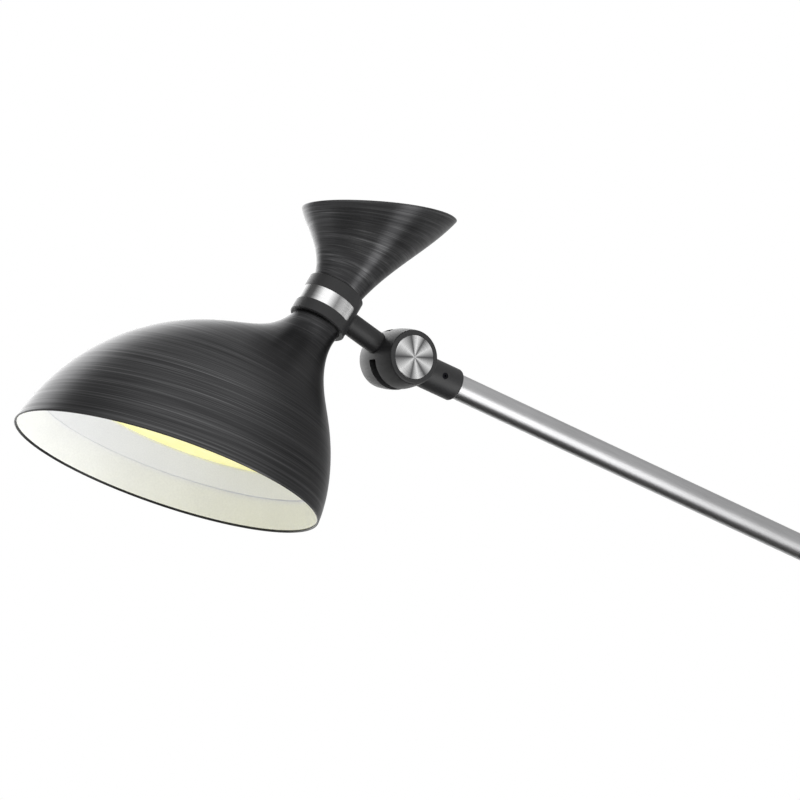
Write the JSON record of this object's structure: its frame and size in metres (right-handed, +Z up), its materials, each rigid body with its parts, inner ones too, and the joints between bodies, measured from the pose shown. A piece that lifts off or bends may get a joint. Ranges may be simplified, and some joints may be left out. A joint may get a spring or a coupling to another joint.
{
  "type": "adjustable arm floor lamp",
  "caption": "Floor lamp: round weighted base, upright mast, swivelling friction-jointed arm and a tilting head of skewed bell and cone shades set back to back.",
  "frame": {"origin": "centre of the base's underside, on the floor", "axes": "+Z up along the mast; the arm reaches out towards -X and the supply lead leaves towards +X; the hinges turn about Y and the push button faces -Y"},
  "size_m": [0.9155, 0.28, 1.4708],
  "materials": {
    "shade_skin": "satin",
    "black_metal": "satin",
    "black_steel": "satin",
    "turned_aluminium": "satin",
    "satin_tube": "satin",
    "zinc_steel": "satin",
    "spring_steel": "satin",
    "white_reflector": "matte",
    "diffuser": "satin",
    "led_board": "matte",
    "led_chip": "satin",
    "bare_aluminium": "satin",
    "friction_plastic": "matte",
    "black_plastic": "matte",
    "white_plastic": "matte",
    "lead_jacket": "matte",
    "bronze_bush": "satin",
    "cast_weight": "matte",
    "foam_pad": "matte"
  },
  "bodies": {
    "base_and_mast": {"base_cover": "black_steel", "base_weight": "cast_weight", "base_pad": "foam_pad", "base_ferrule": "black_metal", "mast_stud": "zinc_steel", "mast_lock_washer": "spring_steel", "mast_nut": "zinc_steel", "led_driver": "white_plastic", "cord_gland": "black_plastic", "mast_lower_tube": "satin_tube", "mast_upper_tube": "satin_tube", "mast_coupler": "zinc_steel", "mast_lead": "lead_jacket", "mast_set_screws": "black_steel", "top_ferrule": "black_metal", "swivel_bush": "bronze_bush", "swivel_stop_screw": "black_steel", "switch_carrier": "white_plastic"},
    "button": {"switch_button": "turned_aluminium"},
    "elbow": {"elbow_yoke": "black_metal", "elbow_stem": "black_steel", "elbow_pivot_bolt": "zinc_steel", "elbow_spring_washer": "spring_steel", "elbow_lock_nut": "zinc_steel", "elbow_hinge_caps": "turned_aluminium", "swivel_clip": "spring_steel"},
    "arm": {"elbow_knuckle": "black_metal", "elbow_friction_washers": "friction_plastic", "arm_tube": "satin_tube", "arm_lead": "lead_jacket", "arm_set_screws": "black_steel", "head_knuckle": "black_metal", "head_friction_washers": "friction_plastic"},
    "head": {"lower_shade": "shade_skin", "upper_cone": "shade_skin", "collar": "black_metal", "accent_band": "turned_aluminium", "shade_nipple": "zinc_steel", "shade_nut": "zinc_steel", "shade_spacer": "zinc_steel", "cone_finial": "black_metal", "light_bezel": "white_reflector", "light_lens": "diffuser", "led_board": "led_board", "led_chips": "led_chip", "heat_sink": "bare_aluminium", "module_bracket": "zinc_steel", "module_screws": "zinc_steel", "head_stem": "black_steel", "head_yoke": "black_metal", "head_pivot_bolt": "zinc_steel", "head_spring_washer": "spring_steel", "head_lock_nut": "zinc_steel", "head_hinge_caps": "turned_aluminium"}
  },
  "joints": [
    {"name": "mast_swivel", "type": "hinge", "parent": "base_and_mast", "child": "elbow", "pos_m": [0, 0, 1.19], "axis": [0, 0, 1], "range_deg": [-148, 148]},
    {"name": "arm_lift", "type": "hinge", "parent": "elbow", "child": "arm", "pos_m": [0, 0, 1.19], "axis": [0, 1, 0], "range_deg": [-36, 65]},
    {"name": "head_tilt", "type": "hinge", "parent": "arm", "child": "head", "pos_m": [-0.52722, 0, 1.37877], "axis": [0, 1, 0], "range_deg": [-90, 72]},
    {"name": "switch_press", "type": "slide", "parent": "base_and_mast", "child": "button", "axis": [0, 1, 0], "range_m": [0, 0.001], "stiffness_N_per_m": 400, "springref_m": -0.001}
  ]
}
